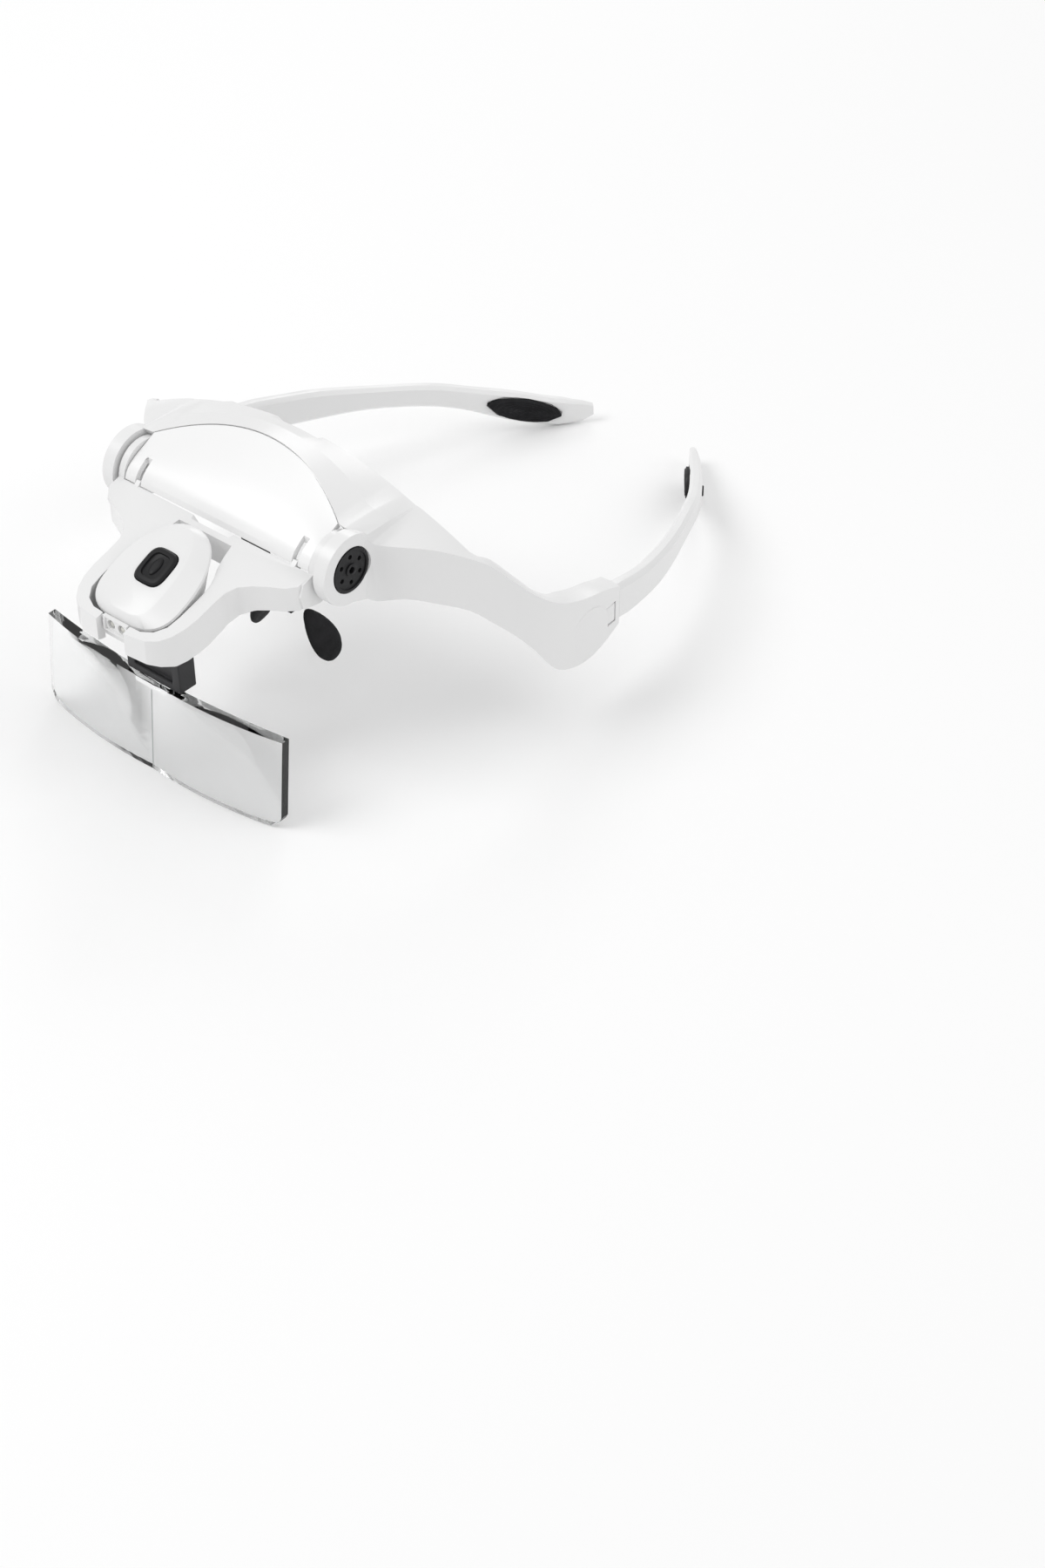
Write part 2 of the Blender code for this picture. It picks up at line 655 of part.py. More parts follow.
# ---------------------------------------------------------------- hubs
def make_hub(side, materials):
    tag = "left" if side > 0 else "right"
    outer = CHEEK_OUT + CAP_PROUD
    inner = outer - CAP_THICK
    cap = solid("hub_cap_" + tag, rod_x(0, 0, CAP_RADIUS, *ordered(side, inner, outer)),
                materials["black"])
    cut(cap, rod_x(0, 0, CAP_RADIUS - 0.0008, *ordered(side, outer - 0.0004, outer + 0.001)))
    join(cap, rod_x(0, 0, 0.0019, *ordered(side, inner + 0.0001, outer)))
    cut(cap, rod_x(0, 0, 0.0010, *ordered(side, inner - 0.001, outer + 0.001), 20))
    for i in range(6):
        turn = radians(60 * i + 30)
        hole = rod_x(0.0040 * cos(turn), 0.0040 * sin(turn), 0.0007,
                     *ordered(side, inner - 0.001, outer + 0.001), 12)
        cut(cap, hole)
    cap.data.shade_smooth()
    cap.data.set_sharp_from_angle(angle=radians(38))

    head = inner - GAP
    screw = solid("pivot_screw_" + tag,
                  rod_x(0, 0, SCREW_HEAD_RADIUS, *ordered(side, head - SCREW_HEAD + 0.0002, head)),
                  materials["steel"])
    end = PLATE_HALF - BOSS_LENGTH + 0.0004
    join(screw, rod_x(0, 0, SCREW_RADIUS, *ordered(side, end, head - 0.0004)))
    cut(screw, box(ordered(side, head - 0.0005, head + 0.001), (-0.0022, 0.0022),
                   (-0.0004, 0.0004)))
    middle = 0.5 * (DISC_OUT + CHEEK_IN)
    half = 0.5 * WASHER_THICK
    ring = ordered(side, middle - half, middle + half)
    washer = solid("friction_washer_" + tag, rod_x(0, 0, WASHER_RADIUS, *ring),
                   materials["black"])
    bore = ordered(side, middle - 0.002, middle + 0.002)
    cut(washer, rod_x(0, 0, SCREW_RADIUS + RUNNING_FIT, *bore))


# ---------------------------------------------------------------- lamp
def rounded(half, reach, power_x, power_y, turn):
    """A point of a rounded outline, part way between an oval and a block."""
    c, s = cos(turn), sin(turn)
    x = half * abs(c) ** power_x * (1 if c > 0 else -1)
    y = reach * abs(s) ** power_y * (1 if s > 0 else -1)
    return x, y


def lamp_outline(inset, half=LAMP_HALF):
    """(x, along) points of the lamp square to its top: blunt front, rounder rear."""
    points = []
    for turn in turns(LAMP_POINTS):
        ahead = turn > pi
        power = FRONT_POWER if ahead else REAR_POWER
        reach = LAMP_FRONT if ahead else LAMP_REAR
        points.append(rounded(half - inset, reach - inset, power, power, turn))
    return points


def lamp_ring(inset, level, half=LAMP_HALF):
    return [lamp_point(x, v, level) for x, v in lamp_outline(inset, half)]


def lamp_foot(inset, height):
    """The lower shell's outline on its level underside."""
    points = []
    for turn in turns(LAMP_POINTS):
        x, y = rounded(FOOT_HALF - inset, FOOT_REACH - inset, FOOT_POWER, FOOT_POWER, turn)
        points.append(at(x, LAMP_Y + y, height))
    return points


def button_ring(shrink, level, count=32):
    """A rounded oblong round the button's middle."""
    half = BUTTON_HALF - shrink
    reach = 0.5 * BUTTON_LENGTH - shrink
    outline = [rounded(half, reach, BUTTON_POWER, BUTTON_POWER, turn) for turn in turns(count)]
    return [lamp_point(x, BUTTON_AT + v, level) for x, v in outline]


def led_ring(side, radius, y, count=20):
    """A circle round a lamp's middle at a given y."""
    x = side * 0.5 * LED_SPACING
    return [at(x + radius * cos(turn), y, LED_Z + radius * sin(turn)) for turn in turns(count)]


def make_upper_shell(materials, pivot):
    seam, top = LAMP_SEAM, LAMP_TOP
    upper = solid("lamp_upper_shell",
                  loft([lamp_ring(0.0, seam), lamp_ring(0.0003, seam + 0.0006),
                        lamp_ring(LAMP_SHOULDER, top - 0.0002, RIDGE_HALF + LAMP_SHOULDER),
                        lamp_ring(LAMP_SHOULDER + 0.0006, top, RIDGE_HALF + LAMP_SHOULDER)]),
                  materials["white"], pivot)
    cut(upper, loft([lamp_ring(LAMP_WALL, seam - 0.002), lamp_ring(LAMP_WALL, seam + 0.0004),
                     lamp_ring(LAMP_SHOULDER + LAMP_WALL, top - LAMP_WALL,
                               RIDGE_HALF + LAMP_SHOULDER)]))
    cut(upper, loft([button_ring(-GAP, seam), button_ring(-GAP, top + PAST)]))
    upper.data.shade_smooth()
    upper.data.set_sharp_from_angle(angle=radians(30))


def make_lower_shell(materials, pivot):
    seam = LAMP_SEAM - GAP
    lower = solid("lamp_lower_shell",
                  loft([lamp_ring(0.0003, seam), lamp_foot(0.0, LAMP_BOTTOM)], True),
                  materials["white"], pivot)
    nose = (-NOSE_HALF, NOSE_HALF)
    join(lower, box(nose, NOSE_Y, NOSE_Z))
    join(lower, box(nose, (NOSE_Y[0] + 0.0001, NOSE_Y[0] + NOSE_LIP), NOSE_LIP_Z))
    cut(lower, loft([lamp_ring(LAMP_WALL, seam + PAST),
                     lamp_foot(LAMP_WALL, LAMP_BOTTOM + LAMP_WALL)], True))
    for side in (-1, 1):
        cut(lower, loft([led_ring(side, LED_RADIUS + GAP, y) for y in (-0.0490, -0.0390)]))
        pin = ordered(side, LAMP_HALF - PIN_LENGTH, LAMP_HALF + 2 * PAST)
        cut(lower, rod_x(LAMP_Y, LAMP_Z, PIN_RADIUS + RUNNING_FIT, *pin))
    recess = (NOSE_Y[0] - PAST, NOSE_Y[0] + NOSE_RECESS)
    cut(lower, box((-NOSE_RECESS_HALF, NOSE_RECESS_HALF), recess, (-0.0144, -0.0106)))
    cut(lower, box((-HATCH_HALF, HATCH_HALF), HATCH_Y, (LAMP_BOTTOM - PAST, LAMP_BOTTOM + 0.0022)))
    lower.data.shade_smooth()
    lower.data.set_sharp_from_angle(angle=radians(35))


def make_lamp_shells(materials):
    pivot = at(0, LAMP_Y, LAMP_Z)
    make_upper_shell(materials, pivot)
    make_lower_shell(materials, pivot)
    half = HATCH_HALF - GAP
    lid = box((-half, half), (HATCH_Y[0] + GAP, HATCH_Y[1] - GAP),
              (LAMP_BOTTOM, LAMP_BOTTOM + HATCH_THICK))
    solid("battery_cover", lid, materials["white"], pivot)


def make_lamp_inside(materials):
    pivot = at(0, LAMP_Y, LAMP_Z)
    front = NOSE_Y[0] + 0.0010
    for side, tag in ((-1, "right"), (1, "left")):
        led = loft([led_ring(side, 0.6 * LED_RADIUS, front),
                    led_ring(side, LED_RADIUS, front + 0.0008),
                    led_ring(side, LED_RADIUS, front + LED_LENGTH)])
        solid("led_" + tag, led, materials["led"], pivot, smooth=True)
        pin = ordered(side, LAMP_HALF + PIN_PROUD - PIN_LENGTH, LAMP_HALF + PIN_PROUD)
        solid("lamp_pin_" + tag, rod_x(LAMP_Y, LAMP_Z, PIN_RADIUS, *pin, 24),
              materials["steel"], pivot, smooth=True)
    solid("circuit_board", lamp_block((-BOARD_HALF, BOARD_HALF), BOARD_ENDS, BOARD),
          materials["board"], pivot)
    ends = (BUTTON_AT - SWITCH_HALF, BUTTON_AT + SWITCH_HALF)
    solid("tact_switch", lamp_block((-SWITCH_HALF, SWITCH_HALF), ends,
                                    (BOARD[1] + GAP, SWITCH_TOP)), materials["black"], pivot)
    low = LAMP_BOTTOM + HATCH_THICK + GAP
    ring = [(CELL_RADIUS * cos(turn), CELL_Y + CELL_RADIUS * sin(turn)) for turn in turns(32)]
    for i in range(2):
        base = low + i * (CELL_THICK + 0.0001)
        solid("coin_cell_%d" % (i + 1), prism_z(ring, base, base + CELL_THICK),
              materials["steel"], pivot, True)


def make_button(materials):
    top = LAMP_TOP + BUTTON_PROUD
    button = solid("switch_button",
                   loft([button_ring(0.0, LAMP_TOP - LAMP_WALL - 0.0002),
                         button_ring(0.0, top - 0.0005), button_ring(0.5 * BUTTON_EDGE, top - 0.0001),
                         button_ring(BUTTON_EDGE, top)]),
                   materials["black"], lamp_point(0, BUTTON_AT, top))
    dish = top - BUTTON_DISH
    cut(button, loft([button_ring(BUTTON_RIM, dish), button_ring(BUTTON_RIM - 0.0004, top + PAST)]))
    pip = [[lamp_point(size * BUTTON_PIP * cos(turn), BUTTON_AT + size * 2 * BUTTON_PIP * sin(turn),
                       level) for turn in turns(24)]
           for size, level in ((1.0, dish - 0.0002), (1.0, top - 0.0003), (0.7, top - 0.0001))]
    join(button, loft(pip))
    button.data.shade_smooth()
    button.data.set_sharp_from_angle(angle=radians(35))


# ---------------------------------------------------------------- lens
def make_clip(materials):
    clip = solid("lens_clip", box((-CLIP_HALF, CLIP_HALF), (CLIP_FRONT, CLIP_REAR),
                                  (CLIP_BOTTOM, CLIP_TOP)), materials["grey"])
    for side in (-1, 1):
        x = ordered(side, CLIP_HALF - POST_WIDTH, CLIP_HALF)
        join(clip, box(x, (CLIP_FRONT, CLIP_REAR), (CLIP_TOP - 0.001, POST_TOP)))
    window = CLIP_HALF - POST_WIDTH
    cut(clip, box((-window, window), (CLIP_FRONT - PAST, CLIP_FRONT + CLIP_PANEL),
                  (CLIP_BOTTOM + CLIP_SILL, CLIP_TOP + PAST)))
    half = TAB_HALF + GAP
    thick = 0.5 * TAB_THICK + GAP
    cut(clip, box((-half, half), (TAB_Y - thick, TAB_Y + thick),
                  (CLIP_BOTTOM - PAST, CLIP_BOTTOM + TAB_HEIGHT + GAP)))


def lens_face(x, h):
    """Front and back y of the lens at x and at h, -1 at the bottom, 1 at the top."""
    share = abs(x) / LENS_HALF
    height = 0.5 * (1 + h) * (LENS_TOP - LENS_BOTTOM)
    base = LENS_END_Y - LENS_BOW * (1 - share * share)
    base -= LENS_LEAN * (LENS_TOP - LENS_BOTTOM - height)
    swell = (1 - (2 * share - 1) ** 2) * (1 - 0.75 * h * h)
    front = base - LENS_BULGE * swell
    back = base + LENS_EDGE + 0.3 * LENS_BULGE * swell
    return front, back


def lens_section(x, rows=8):
    past = max(0.0, abs(x) - (LENS_HALF - LENS_CORNER))
    lift = LENS_CORNER - (LENS_CORNER ** 2 - past ** 2) ** 0.5
    bottom = LENS_BOTTOM + 0.9 * lift
    front, back = [], []
    for i in range(rows + 1):
        h = 1 - 2.0 * i / rows
        z = bottom + 0.5 * (1 + h) * (LENS_TOP - bottom)
        level = 2 * (z - LENS_BOTTOM) / (LENS_TOP - LENS_BOTTOM) - 1
        y = lens_face(x, level)
        front.append(at(x, y[0], z))
        back.append(at(x, y[1], z))
    return front + back[::-1]


def make_lens(materials):
    inner = [LENS_HALF * i / 12 for i in range(11)]
    ends = [LENS_HALF - LENS_CORNER * k for k in (0.62, 0.35, 0.15, 0.03)]
    right = [x for x in inner if x < ends[0] - 0.001] + ends
    stations = [-x for x in reversed(right[1:])] + right
    lens = solid("magnifier_lens", loft([lens_section(x) for x in stations]),
                 materials["acrylic"], smooth=True)
    thick = 0.5 * TAB_THICK
    foot = LENS_TOP - TAB_ROOT
    tab = (-TAB_HALF, TAB_HALF)
    join(lens, box(tab, (TAB_Y - thick, TAB_Y + thick), (foot, CLIP_BOTTOM + TAB_HEIGHT)))
    join(lens, box(tab, (TAB_Y - 0.0023, TAB_Y + thick), (foot, LENS_TOP - 0.0001)))
    lens.data.shade_smooth()
    lens.data.set_sharp_from_angle(angle=radians(30))


# ---------------------------------------------------------------- nose pads
def block_ring(x, y, z, half_x, half_y):
    """Four corners round a point, level with the ground."""
    return [at(x + a, y + b, z) for a, b in ((-half_x, -half_y), (half_x, -half_y),
                                             (half_x, half_y), (-half_x, half_y))]


# middle of each slice of the stem, its half width and its half depth
STEM = [(0.0040, 0.0075, 0.0050, 0.0030),
        (0.0040, 0.0020, 0.0045, 0.0014),
        (0.0050, -0.0100, 0.0040, 0.0012),
        (0.0075, -0.0220, 0.0045, 0.0012),
        (0.0095, -0.0300, 0.0060, 0.0012)]
# middle of each slice of a pad's arm
PAD_ARM = [(0.0030, 0.0092, -0.0285), (0.0052, 0.0105, -0.0320), (0.0064, 0.0122, -0.0366)]
PAD_ARM_HALF = (0.0010, 0.0016)


def make_bridge(materials):
    stem = [block_ring(0.0, y, z, wide, deep) for y, z, wide, deep in STEM]
    bridge = solid("nose_bridge", loft(stem), materials["black"])
    for side in (-1, 1):
        join(bridge, loft([block_ring(side * x, y, z, *PAD_ARM_HALF) for x, y, z in PAD_ARM]))


def make_pad(side, materials):
    """A leaf-shaped pad, wider at its foot and thinner round its edge."""
    axis = Vector((side * 0.33, 0.30, -0.90)).normalized()
    across = Vector((side * -0.05, 0.94, 0.32))
    across = (across - axis * across.dot(axis)).normalized()
    face = axis.cross(across)
    x, y, z = PAD_CENTRE
    centre = at(side * x, y, z)
    loops = []
    for size, depth in ((0.90, -0.5), (1.0, 0.0), (0.90, 0.5)):
        ring = []
        for turn in turns(28):
            u = 0.5 * PAD_LENGTH * cos(turn) * size
            v = 0.5 * PAD_WIDTH * sin(turn) * size * (0.80 + 0.28 * cos(turn) * size)
            ring.append(centre + axis * u + across * v + face * (depth * PAD_THICK))
        loops.append(ring)
    tag = "left" if side > 0 else "right"
    solid("nose_pad_" + tag, loft(loops), materials["rubber"], centre, smooth=True)


# ---------------------------------------------------------------- arms
# the arm's middle line: x, share of its reach, z, as two curves end to end
ARM_LINE = [[(0.0742, 0.0, ARM_SEAM_Z), (0.0736, 0.21, -0.0396), (0.0625, 0.415, -0.0424),
             (0.0540, 0.575, -0.0470)],
            [(0.0540, 0.575, -0.0470), (0.0455, 0.735, -0.0516), (0.0310, 0.885, -0.0629),
             (0.0208, 1.0, -0.0611)]]
ARM_STEPS = 15


def arm_path(side):
    """Middle line of an arm from the seam to its tip, with how far along it is."""
    points = []
    for curve in ARM_LINE:
        knots = [Vector((side * x, SEAM_Y + GAP + share * ARM_REACH, z)) for x, share, z in curve]
        points += list(interpolate_bezier(*knots, ARM_STEPS))[1 if points else 0:]
    lengths = [0.0]
    for a, b in zip(points, points[1:]):
        lengths.append(lengths[-1] + (b - a).length)
    return points, [d / lengths[-1] for d in lengths]


def blend(value, table):
    """A size part way along a table of (share, size)."""
    for (s0, v0), (s1, v1) in zip(table, table[1:]):
        if value <= s1:
            t = (value - s0) / (s1 - s0)
            t = t * t * (3 - 2 * t)
            return v0 + (v1 - v0) * t
    return table[-1][1]


ARM_HEIGHTS = [(0.0, 0.0122), (0.16, 0.0104), (0.42, 0.0076), (0.62, 0.0076), (0.80, 0.0102),
               (0.90, 0.0100), (0.96, 0.0080), (1.0, 0.0040)]
ARM_THICKS = [(0.0, 0.0052), (0.12, ARM_THICK), (0.45, 0.0040), (0.75, 0.0040), (0.9, 0.0036),
              (1.0, 0.0020)]


def arm_frames(side):
    """For each station: middle, inward direction, up direction, height, thickness."""
    points, shares = arm_path(side)
    frames = []
    for i, (point, share) in enumerate(zip(points, shares)):
        a = points[max(i - 1, 0)]
        b = points[min(i + 1, len(points) - 1)]
        along = (b - a).normalized()
        if i == 0:
            along = Vector((0, 1, 0))
        inward = Vector((-side * along.y, side * along.x, 0.0)).normalized()
        up = along.cross(inward) * side
        if up.z < 0:
            up = -up
        frames.append((point, inward, up, blend(share, ARM_HEIGHTS), blend(share, ARM_THICKS),
                       share))
    return frames


def arm_ring(point, inward, up, height, thick):
    """A rounded oblong round the arm's middle line."""
    h, t = 0.5 * height, 0.5 * thick
    r = min(h, t) * 0.55
    corners = [(t, h - r), (t - r, h), (-t + r, h), (-t, h - r),
               (-t, -h + r), (-t + r, -h), (t - r, -h), (t, -h + r)]
    return [at(0, 0, 0) + point + inward * a + up * b for a, b in corners]


def make_arm(side, materials):
    tag = "left" if side > 0 else "right"
    frames = arm_frames(side)
    pivot = at(0, 0, 0) + frames[0][0]
    arm = solid("temple_arm_" + tag, loft([arm_ring(*f[:5]) for f in frames]),
                materials["white"], pivot)
    half = 0.5 * TONGUE_BLADE
    x = ordered(side, SOCKET_X - half, SOCKET_X + half)
    z = 0.5 * TONGUE_HEIGHT
    join(arm, box(x, (TONGUE_END, SEAM_Y + 0.004), (ARM_SEAM_Z - z, ARM_SEAM_Z + z)))

    chosen = [f for f in frames if 0.70 < f[5] < 0.93]
    low, high = chosen[0][5], chosen[-1][5]
    rings, well = [], []
    for point, inward, up, _, thick, share in chosen:
        reach = 2 * (share - low) / (high - low) - 1
        tall = 0.5 * CUSHION_HEIGHT * max(0.0, 1 - reach * reach) ** 0.5 + 0.0006
        floor = 0.5 * thick - CUSHION_BED
        for store, grow, out in ((rings, 0.0, floor + CUSHION_THICK), (well, GAP, floor + 0.003)):
            base = floor - grow
            store.append([at(0, 0, 0) + point + inward * a + up * b for a, b in
                          ((base, tall + grow), (base, -tall - grow),
                           (out - 0.0004, -tall - grow), (out, -tall * 0.6 - grow),
                           (out, tall * 0.6 + grow), (out - 0.0004, tall + grow))])
    ends = [(well[1][k] - well[0][k]).normalized() * GAP for k in range(6)]
    well[0] = [p - e for p, e in zip(well[0], ends)]
    ends = [(well[-1][k] - well[-2][k]).normalized() * GAP for k in range(6)]
    well[-1] = [p + e for p, e in zip(well[-1], ends)]
    cut(arm, loft(well))
    solid("arm_cushion_" + tag, loft(rings), materials["rubber"], pivot, smooth=True)

    point, inward, up, _, thick, _ = min(frames, key=lambda f: abs(f[5] - PLUG_SHARE))
    surface = at(0, 0, 0) + point - inward * (0.5 * thick)
    along = inward.cross(up)

    def disc(radius, start, stop):
        return loft([[surface + inward * d + up * (radius * cos(turn))
                      + along * (radius * sin(turn)) for turn in turns(20)]
                     for d in (start, stop)])
    cut(arm, disc(PLUG_RADIUS + GAP, -2 * PAST, PLUG_DEPTH + GAP))
    solid("arm_plug_" + tag, disc(PLUG_RADIUS, -PLUG_PROUD, PLUG_DEPTH), materials["rubber"],
          pivot)
    arm.data.shade_smooth()
    arm.data.set_sharp_from_angle(angle=radians(40))


def make_latch(side, materials):
    tag = "left" if side > 0 else "right"
    x = ordered(side, LATCH_FACE - LATCH_THICK, LATCH_FACE)
    y = 0.5 * LATCH_LENGTH
    z = 0.5 * LATCH_HEIGHT
    solid("latch_tab_" + tag, box(x, (LATCH_Y - y, LATCH_Y + y), (LATCH_Z - z, LATCH_Z + z)),
          materials["white"], at(side * LATCH_FACE, LATCH_Y, LATCH_Z))


# ---------------------------------------------------------------- build
def build():
    for item in list(bpy.data.objects):
        bpy.data.objects.remove(item)
    materials = make_materials()
    make_frame(materials)
    make_plate(materials)
    make_bracket(materials)
    make_lamp_shells(materials)
    make_lamp_inside(materials)
    make_button(materials)
    make_clip(materials)
    make_lens(materials)
    make_bridge(materials)
    for side in (-1, 1):
        make_pad(side, materials)
        make_hub(side, materials)
        make_arm(side, materials)
        make_latch(side, materials)


build()
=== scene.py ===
"""Looks for a head visor magnifier: moulded white shells, black rubber and a clear lens."""
import json
from math import cos, pi, radians, sin

import bmesh
import bpy
import numpy as np
from bpy.props import FloatProperty, FloatVectorProperty, IntProperty, PointerProperty
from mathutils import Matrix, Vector
from mathutils.bvhtree import BVHTree


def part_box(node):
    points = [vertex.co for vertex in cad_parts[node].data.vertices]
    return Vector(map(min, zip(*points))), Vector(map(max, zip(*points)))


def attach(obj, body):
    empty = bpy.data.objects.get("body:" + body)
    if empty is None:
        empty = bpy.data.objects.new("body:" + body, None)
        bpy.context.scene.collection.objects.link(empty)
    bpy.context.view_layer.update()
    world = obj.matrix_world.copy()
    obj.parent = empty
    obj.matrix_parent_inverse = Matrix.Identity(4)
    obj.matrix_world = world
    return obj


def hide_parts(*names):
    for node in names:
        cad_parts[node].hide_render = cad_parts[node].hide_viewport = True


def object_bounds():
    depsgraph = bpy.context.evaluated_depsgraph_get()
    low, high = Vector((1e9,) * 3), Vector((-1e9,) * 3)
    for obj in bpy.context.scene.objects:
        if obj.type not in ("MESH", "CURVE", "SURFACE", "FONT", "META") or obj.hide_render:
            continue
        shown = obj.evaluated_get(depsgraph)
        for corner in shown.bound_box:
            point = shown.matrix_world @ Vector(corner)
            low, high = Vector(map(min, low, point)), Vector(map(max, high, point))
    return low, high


bl_info = {
    "name": "Head Visor Magnifier Looks",
    "version": (1, 0, 0),
    "blender": (4, 5, 0),
    "location": "View3D > Sidebar > Visor",
    "description": "Finishes a head visor magnifier: shells, rubber, lens, lamp and stage",
    "category": "Object",
}

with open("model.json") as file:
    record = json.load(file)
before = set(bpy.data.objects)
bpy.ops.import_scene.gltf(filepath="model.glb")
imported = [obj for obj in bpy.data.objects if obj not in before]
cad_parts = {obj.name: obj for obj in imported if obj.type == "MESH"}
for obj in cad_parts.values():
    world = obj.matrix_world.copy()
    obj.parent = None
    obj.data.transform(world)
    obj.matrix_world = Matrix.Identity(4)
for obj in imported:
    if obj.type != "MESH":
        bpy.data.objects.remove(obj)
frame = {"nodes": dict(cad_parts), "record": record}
CAD_BOX = [list(corner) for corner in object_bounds()]
JOINTS = {joint["name"]: joint for joint in frame["record"]["behaviour"]["joints"]}
HUB = Vector(JOINTS["bracket_flip"]["pos_m"])

WELD = 0.000004                 # points nearer than this are one point
FLAT = radians(0.4)             # faces that meet at less than this are one face
CREASED = radians(32)           # edges sharper than this are softened
CLIP_EDGE = 1.6                 # the clip's rounding over that of other small parts
ABOVE = 0.02                    # where a line that looks for a surface starts
SHAPE_STEPS = 2                 # divisions of a softened edge, and of a nose pad

ROUNDEL_PLACE = (0.0585, -0.0372)     # how far the disc is behind the hub, and above it
ROUNDEL_CREST = 0.0605                # where the wing's side stands furthest out
ROUNDEL_SAG = 9.0                     # how fast the side falls away from there (1/m)
# share of the radius, height over the wing
ROUNDEL_STEPS = ((1.0, -0.0012), (1.0, -0.0001), (0.96, 0.0002), (0.5, 0.0003))
ROUNDEL_POINTS = 64

CUSHION_POINTS = 96
CUSHION_RINGS = 60
CUSHION_CROWN = 0.00022         # rise of the middle over the edge
RIB_FADE = 6                    # how quickly the ribs start at the edge

CREASE_FOOT = 0.0004            # where the line starts above the lens's lower edge
CREASE_STEPS = 40
# share of half the width, height over the lens
CREASE_ROUND = ((-1.0, -0.00003), (-0.5, 0.00003), (0.0, 0.00005), (0.5, 0.00003),
                (1.0, -0.00003))
CREASE_THICK = 0.00008

FLOOR_REACH = 6.0
FLOOR_DROP = 0.0002             # how far the floor lies under the visor
SENSOR = 36.0                   # width the lens's focal length is counted against (mm)
CAMERA_PLACE = (0.457486, -0.422985, 0.413689)     # from the middle of the hub line
NEAREST = 0.01                  # nothing nearer the camera than this is drawn
# place from the middle of the visor, width of the disc, share of the key light's power
LIGHTS = {"key": ((-0.55, -0.75, 1.15), 0.9, 1.0),
          "fill": ((0.95, 0.35, 0.80), 0.8, 0.25),
          "rim": ((-0.60, 0.95, 0.70), 0.6, 0.25)}

SHELLS = ("head_frame", "lens_bracket", "lamp_upper_shell", "lamp_lower_shell",
          "battery_cover", "temple_arm_left", "temple_arm_right", "latch_tab_left",
          "latch_tab_right")
HARD_BLACK = ("hub_cap_left", "hub_cap_right", "friction_washer_left", "friction_washer_right",
              "switch_button", "tact_switch", "nose_bridge")
METAL = ("pivot_screw_left", "pivot_screw_right", "lamp_pin_left", "lamp_pin_right",
         "coin_cell_1", "coin_cell_2")
SIDES = ((-1, "right"), (1, "left"))


def node_body(name):
    """The body a CAD node belongs to."""
    for body, nodes in frame["record"]["behaviour"]["bodies"].items():
        if name in nodes:
            return body
    raise RuntimeError("no body holds " + name)


# ---------------------------------------------------------------- finishes
class Finish:
    """Lays out one material's nodes, left to right."""

    def __init__(self, name):
        self.material = bpy.data.materials.new(name)
        self.material.use_nodes = True
        self.tree = self.material.node_tree
        self.shader = self.tree.nodes["Principled BSDF"]
        self.place = self.add("ShaderNodeTexCoord").outputs["Object"]

    def add(self, kind, **values):
        """A new node of one kind, with its settings."""
        node = self.tree.nodes.new(kind)
        for key, value in values.items():
            setattr(node, key, value)
        return node

    def link(self, start, end):
        self.tree.links.new(start, end)

    def noise(self, scale, detail=3.0, roughness=0.5):
        """Noise at a scale in repeats per metre."""
        node = self.add("ShaderNodeTexNoise")
        node.inputs["Scale"].default_value = scale
        node.inputs["Detail"].default_value = detail
        node.inputs["Roughness"].default_value = roughness
        self.link(self.place, node.inputs["Vector"])
        return node.outputs["Fac"]

    def spread(self, value, low, high):
        """Noise stretched so that its middle range runs from low to high."""
        node = self.add("ShaderNodeMapRange")
        node.inputs["From Min"].default_value = 0.3
        node.inputs["From Max"].default_value = 0.7
        node.inputs["To Min"].default_value = low
        node.inputs["To Max"].default_value = high
        self.link(value, node.inputs["Value"])
        return node.outputs["Result"]

    def colours(self, value, first, second):
        """Base colour that wanders between two colours."""
        node = self.add("ShaderNodeMix", data_type="RGBA")
        self.link(value, node.inputs[0])
        node.inputs[6].default_value = (*first, 1.0)
        node.inputs[7].default_value = (*second, 1.0)
        self.link(node.outputs[2], self.shader.inputs["Base Color"])

    def rough(self, scale, detail, low, high):
        """Roughness that wanders between two values."""
        value = self.spread(self.noise(scale, detail), low, high)
        self.link(value, self.shader.inputs["Roughness"])

    def bump(self, value, strength, distance):
        """Fine relief."""
        node = self.add("ShaderNodeBump")
        node.inputs["Strength"].default_value = strength
        node.inputs["Distance"].default_value = distance
        self.link(value, node.inputs["Height"])
        self.link(node.outputs["Normal"], self.shader.inputs["Normal"])

    def set(self, **values):
        """Values that are the same all over the surface."""
        for key, value in values.items():
            self.shader.inputs[key.replace("_", " ")].default_value = value


def shade(colour, amount):
    """A colour made lighter or darker."""
    return tuple(min(1.0, channel * amount) for channel in colour)


def moulded(name, colour, rough, grain=2600.0, coat=0.20, shine=0.5):
    """Injection-moulded plastic: faint flow variation and a very fine grain."""
    finish = Finish(name)
    flow = finish.noise(14.0, 2.0, 0.45)
    finish.colours(finish.spread(flow, 0.0, 1.0), shade(colour, 0.992), shade(colour, 1.006))
    finish.rough(30.0, 2.0, rough - 0.02, rough + 0.02)
    finish.bump(finish.noise(grain, 2.0), 0.04, 0.0001)
    finish.set(Coat_Weight=coat, Coat_Roughness=0.18, IOR=1.50, Specular_IOR_Level=shine)
    return finish.material


def soft_rubber(name, colour):
    """Matt rubber with a fine, uneven skin."""
    finish = Finish(name)
    finish.colours(finish.spread(finish.noise(220.0, 4.0), 0.0, 1.0), colour, shade(colour, 1.8))
    finish.rough(420.0, 4.0, 0.55, 0.74)
    finish.bump(finish.noise(1500.0, 3.0, 0.6), 0.25, 0.0002)
    finish.set(Specular_IOR_Level=0.2)
    return finish.material


